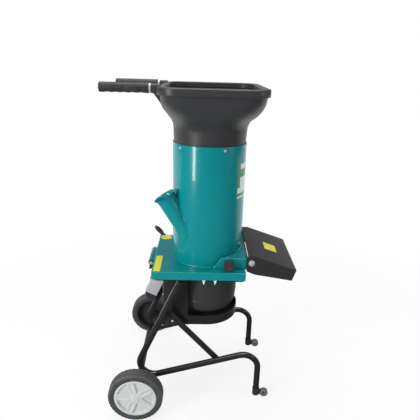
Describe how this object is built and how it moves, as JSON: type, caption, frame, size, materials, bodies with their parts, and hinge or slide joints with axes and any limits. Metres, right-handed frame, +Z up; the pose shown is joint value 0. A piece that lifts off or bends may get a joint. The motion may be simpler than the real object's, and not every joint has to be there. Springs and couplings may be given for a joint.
{
  "type": "electric garden shredder",
  "caption": "Electric garden shredder: trough hopper on a steel drum with a slanted branch tube, deck and discharge hood, motor below, on a wheeled tube frame.",
  "frame": {"origin": "on the floor, under the middle of the bounding box", "axes": "+X to the front, where the chips leave; +Y to the left side; +Z up. The wheels and handles are at -X."},
  "size_m": [0.64, 0.56, 1.122],
  "materials": {
    "teal_paint": "glossy",
    "black_paint": "glossy",
    "black_plastic": "semi-gloss",
    "soft_rubber": "matte",
    "tyre_rubber": "matte",
    "pale_grey_plastic": "satin",
    "grey_plastic": "satin",
    "zinc_plate": "polished",
    "tool_steel": "ground",
    "cast_aluminium": "cast",
    "motor_steel": "laminated",
    "green_plastic": "glossy",
    "red_plastic": "glossy"
  },
  "bodies": {
    "chassis": {"base_plate": "black_paint", "hinge_pin": "zinc_plate", "rest_buffer_right": "soft_rubber", "rest_buffer_left": "soft_rubber", "motor_guard": "black_paint", "motor_cover": "black_plastic", "frame_tube_right": "black_paint", "frame_tube_left": "black_paint", "brace_right": "black_paint", "brace_left": "black_paint", "guard_bolt_right": "black_paint", "guard_bolt_left": "black_paint", "foot_right": "soft_rubber", "foot_left": "soft_rubber", "switch_box": "grey_plastic", "power_inlet": "black_plastic", "wheel_axle": "black_paint", "end_shield_top": "cast_aluminium", "end_shield_bottom": "cast_aluminium", "bearing_top": "tool_steel", "bearing_bottom": "tool_steel", "stator": "motor_steel", "run_capacitor": "cast_aluminium"},
    "housing": {"drum": "teal_paint", "branch_tube": "teal_paint", "deck": "teal_paint", "discharge_channel": "teal_paint", "hopper": "black_plastic", "grip_right": "soft_rubber", "grip_left": "soft_rubber", "handle_tube_right": "zinc_plate", "handle_tube_left": "zinc_plate", "neck_screw_1": "zinc_plate", "neck_screw_2": "zinc_plate", "neck_screw_3": "zinc_plate", "neck_screw_4": "zinc_plate", "neck_screw_5": "zinc_plate", "hinge_barrel": "teal_paint", "counter_blade": "tool_steel", "hood_pivot_bolt_right": "zinc_plate", "hood_pivot_bolt_left": "zinc_plate", "lever_pivot_bolt": "zinc_plate", "lip_clip_1": "grey_plastic", "lip_clip_2": "grey_plastic"},
    "rotor": {"motor_shaft": "tool_steel", "rotor_core": "motor_steel", "cooling_fan": "black_plastic", "blade_disc": "tool_steel", "chipper_blade_1": "tool_steel", "chipper_blade_2": "tool_steel", "disc_nut": "zinc_plate"},
    "hood": {"discharge_hood": "black_paint"},
    "knob": {"lock_knob": "black_plastic"},
    "lever": {"catch_lever": "black_plastic"},
    "right_wheel": {"tyre_right": "tyre_rubber", "wheel_right": "pale_grey_plastic"},
    "left_wheel": {"tyre_left": "tyre_rubber", "wheel_left": "pale_grey_plastic"},
    "start": {"start_button": "green_plastic"},
    "stop": {"stop_button": "red_plastic"}
  },
  "joints": [
    {"name": "housing_tilt", "type": "hinge", "parent": "chassis", "child": "housing", "pos_m": [-0.186, 0, 0.5], "axis": [0, -1, 0], "range_deg": [0, 75]},
    {"name": "rotor_spin", "type": "hinge", "parent": "chassis", "child": "rotor", "pos_m": [0.014, 0, 0.527], "axis": [0, 0, 1], "continuous": true},
    {"name": "hood_lift", "type": "hinge", "parent": "housing", "child": "hood", "pos_m": [0.165, 0, 0.543], "axis": [0, -1, 0], "range_deg": [0, 30]},
    {"name": "knob_turn", "type": "hinge", "parent": "housing", "child": "knob", "pos_m": [0.0865, -0.132, 0.537], "axis": [0, -1, 0], "continuous": true},
    {"name": "lever_swing", "type": "hinge", "parent": "housing", "child": "lever", "pos_m": [-0.151, 0.1668, 0.503], "axis": [0, -1, 0], "range_deg": [0, 60]},
    {"name": "right_wheel_spin", "type": "hinge", "parent": "chassis", "child": "right_wheel", "pos_m": [-0.222, -0.235, 0.0935], "axis": [0, 1, 0], "continuous": true},
    {"name": "left_wheel_spin", "type": "hinge", "parent": "chassis", "child": "left_wheel", "pos_m": [-0.222, 0.235, 0.0935], "axis": [0, 1, 0], "continuous": true},
    {"name": "start_press", "type": "slide", "parent": "chassis", "child": "start", "axis": [0.9113, 0, -0.4118], "range_m": [0, 0.003], "stiffness_N_per_m": 400, "springref_m": -0.002},
    {"name": "stop_press", "type": "slide", "parent": "chassis", "child": "stop", "axis": [0.9113, 0, -0.4118], "range_m": [0, 0.003], "stiffness_N_per_m": 400, "springref_m": -0.002}
  ]
}
